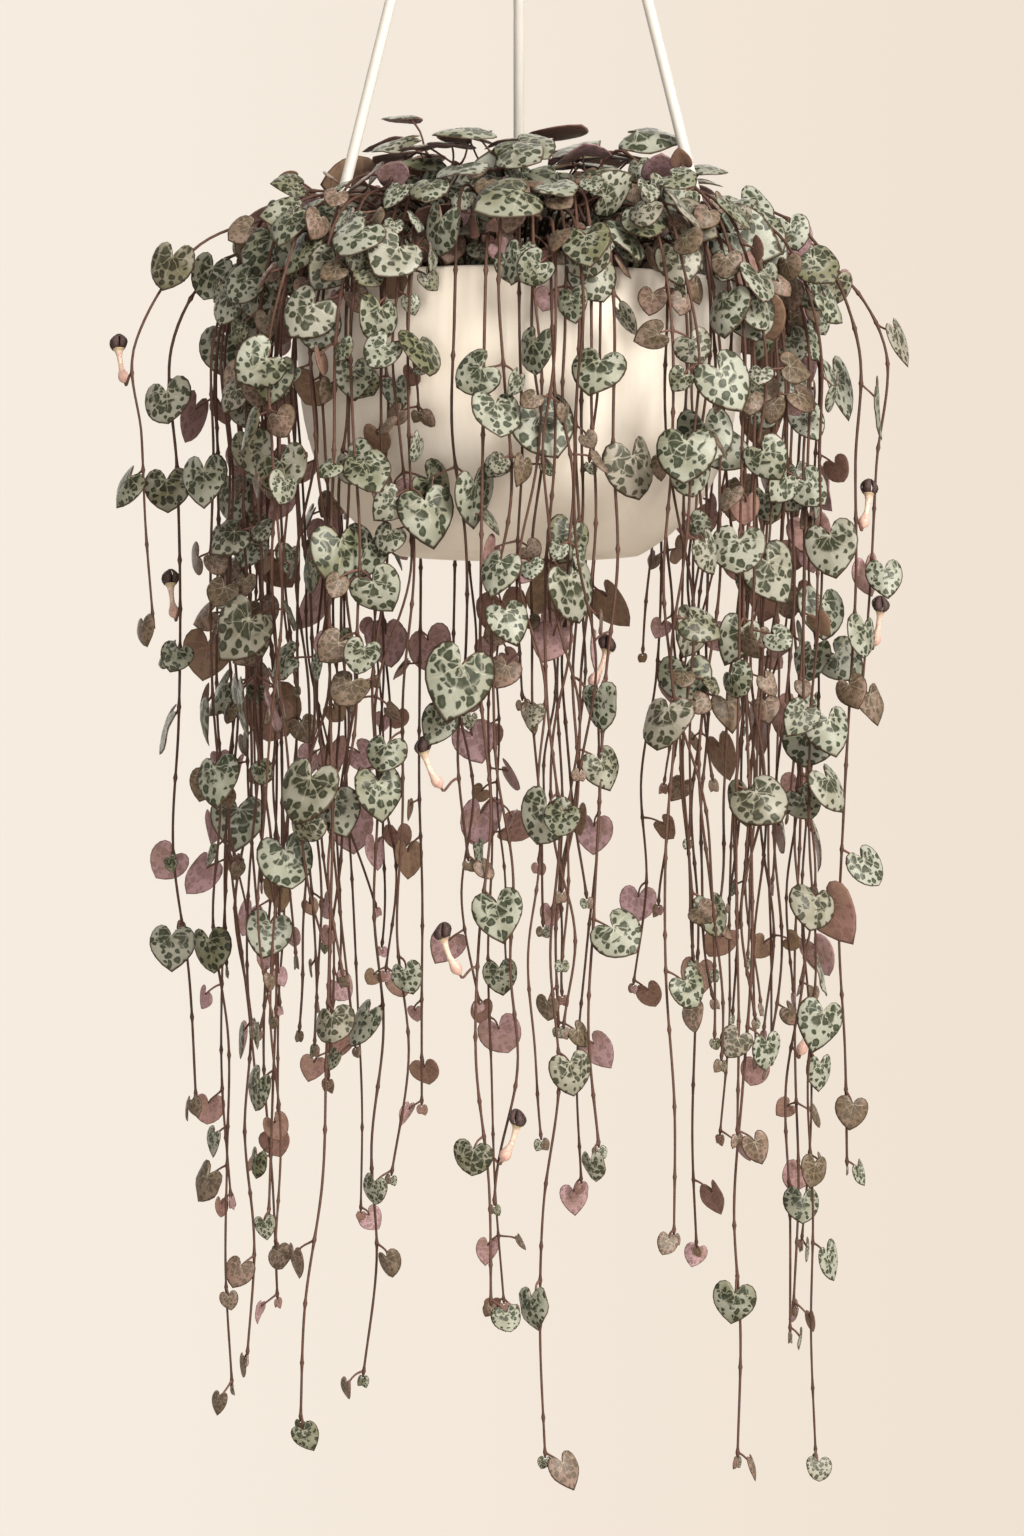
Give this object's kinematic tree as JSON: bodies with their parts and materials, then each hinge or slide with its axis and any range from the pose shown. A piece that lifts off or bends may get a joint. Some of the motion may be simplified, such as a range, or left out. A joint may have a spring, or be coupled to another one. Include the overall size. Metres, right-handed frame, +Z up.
{
  "type": "potted string of hearts",
  "caption": "Trailing string of hearts in a round plastic hanging bowl, held by rods that clip on the rim and meet in a hub with a hook.",
  "frame": {"origin": "inside of the hook's top, where the pot hangs", "axes": "+Z up along the line of hang, -Y towards the side that the picture shows, +X to its right"},
  "size_m": [0.2858, 0.2133, 0.7599],
  "materials": {
    "bowl_plastic": "off-white, satin, faintly brushed",
    "hanger_plastic": "white, satin",
    "soil": "dark potting mix",
    "plant": "silvery green leaves with dark marbling, purple-brown stems"
  },
  "bodies": {
    "root": {"pot": "bowl_plastic", "soil": "soil", "hook": "hanger_plastic", "arm_90": "hanger_plastic", "arm_210": "hanger_plastic", "arm_330": "hanger_plastic", "shoot_1": "plant", "shoot_2": "plant", "shoot_3": "plant", "shoot_4": "plant", "shoot_5": "plant", "shoot_6": "plant", "vine_01": "plant", "vine_02": "plant", "vine_03": "plant", "vine_04": "plant", "vine_05": "plant", "vine_06": "plant", "vine_07": "plant", "vine_08": "plant", "vine_09": "plant", "vine_10": "plant", "vine_11": "plant", "vine_12": "plant", "vine_13": "plant", "vine_14": "plant", "vine_15": "plant", "vine_16": "plant", "vine_17": "plant", "vine_18": "plant", "vine_19": "plant", "vine_20": "plant", "vine_21": "plant", "vine_22": "plant", "vine_23": "plant", "vine_24": "plant", "vine_25": "plant", "vine_26": "plant", "vine_27": "plant", "vine_28": "plant", "vine_29": "plant", "vine_30": "plant", "vine_31": "plant", "vine_32": "plant", "vine_33": "plant", "vine_34": "plant", "vine_35": "plant", "vine_36": "plant", "vine_37": "plant", "vine_38": "plant", "vine_39": "plant", "vine_40": "plant", "vine_41": "plant"}
  },
  "joints": []
}
